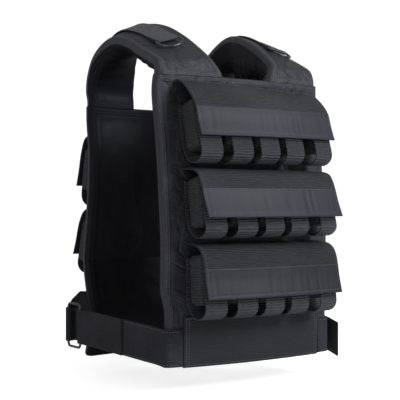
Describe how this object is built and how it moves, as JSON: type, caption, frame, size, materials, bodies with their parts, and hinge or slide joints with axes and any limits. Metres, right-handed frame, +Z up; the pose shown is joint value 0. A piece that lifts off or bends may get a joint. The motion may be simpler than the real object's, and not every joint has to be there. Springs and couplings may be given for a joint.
{
  "type": "weighted vest",
  "caption": "Black weighted vest with padded panels and shoulder pads, flap-covered rows of cloth-covered weights in webbing loops, shoulder D-rings and side straps.",
  "frame": {"origin": "midway between the undersides of the two shoulder pads, where a pair of shoulders carries the vest", "axes": "+Z up, the wearer faces -Y, the wearer's right is -X"},
  "size_m": [0.4016, 0.4575, 0.5921],
  "materials": {
    "nylon": "black coated nylon",
    "flap_cloth": "ribbed cloth with a smooth sheened band",
    "webbing": "coarse ribbed webbing",
    "weight_cloth": "coarse matte cloth",
    "loop_tape": "fuzzy loop tape",
    "black_metal": "black painted steel rod"
  },
  "bodies": {
    "vest": {"back_cradle_1": "webbing", "back_cradle_2": "webbing", "back_flap_1": "flap_cloth", "back_flap_2": "flap_cloth", "back_panel": "nylon", "back_waistband": "webbing", "back_weight_1_1": "weight_cloth", "back_weight_1_2": "weight_cloth", "back_weight_1_3": "weight_cloth", "back_weight_1_4": "weight_cloth", "back_weight_1_5": "weight_cloth", "back_weight_2_1": "weight_cloth", "back_weight_2_2": "weight_cloth", "back_weight_2_3": "weight_cloth", "back_weight_2_4": "weight_cloth", "back_weight_2_5": "weight_cloth", "front_cradle_1": "webbing", "front_cradle_2": "webbing", "front_cradle_3": "webbing", "front_flap_1": "flap_cloth", "front_flap_2": "flap_cloth", "front_flap_3": "flap_cloth", "front_panel": "nylon", "front_waistband": "webbing", "front_weight_1_1": "weight_cloth", "front_weight_1_2": "weight_cloth", "front_weight_1_3": "weight_cloth", "front_weight_1_4": "weight_cloth", "front_weight_1_5": "weight_cloth", "front_weight_2_1": "weight_cloth", "front_weight_2_2": "weight_cloth", "front_weight_2_3": "weight_cloth", "front_weight_2_4": "weight_cloth", "front_weight_2_5": "weight_cloth", "front_weight_3_1": "weight_cloth", "front_weight_3_2": "weight_cloth", "front_weight_3_3": "weight_cloth", "front_weight_3_4": "weight_cloth", "front_weight_3_5": "weight_cloth", "shoulder_pad_left": "nylon", "shoulder_pad_right": "nylon", "shoulder_webbing_left": "webbing", "shoulder_webbing_right": "webbing", "side_strap_left": "loop_tape", "side_strap_right": "loop_tape", "strap_ring_left": "black_metal", "strap_ring_right": "black_metal"},
    "d_ring_right": {"d_ring_right": "black_metal"},
    "d_ring_left": {"d_ring_left": "black_metal"}
  },
  "joints": [
    {"name": "d_ring_right_swing", "type": "hinge", "parent": "vest", "child": "d_ring_right", "pos_m": [-0.11776, -0.06923, -0.0076], "axis": [-0.9551, 0.1036, -0.2777], "range_deg": [0, 150]},
    {"name": "d_ring_left_swing", "type": "hinge", "parent": "vest", "child": "d_ring_left", "pos_m": [0.11721, -0.06927, -0.00747], "axis": [-0.9834, -0.0482, 0.1751], "range_deg": [0, 150]}
  ]
}
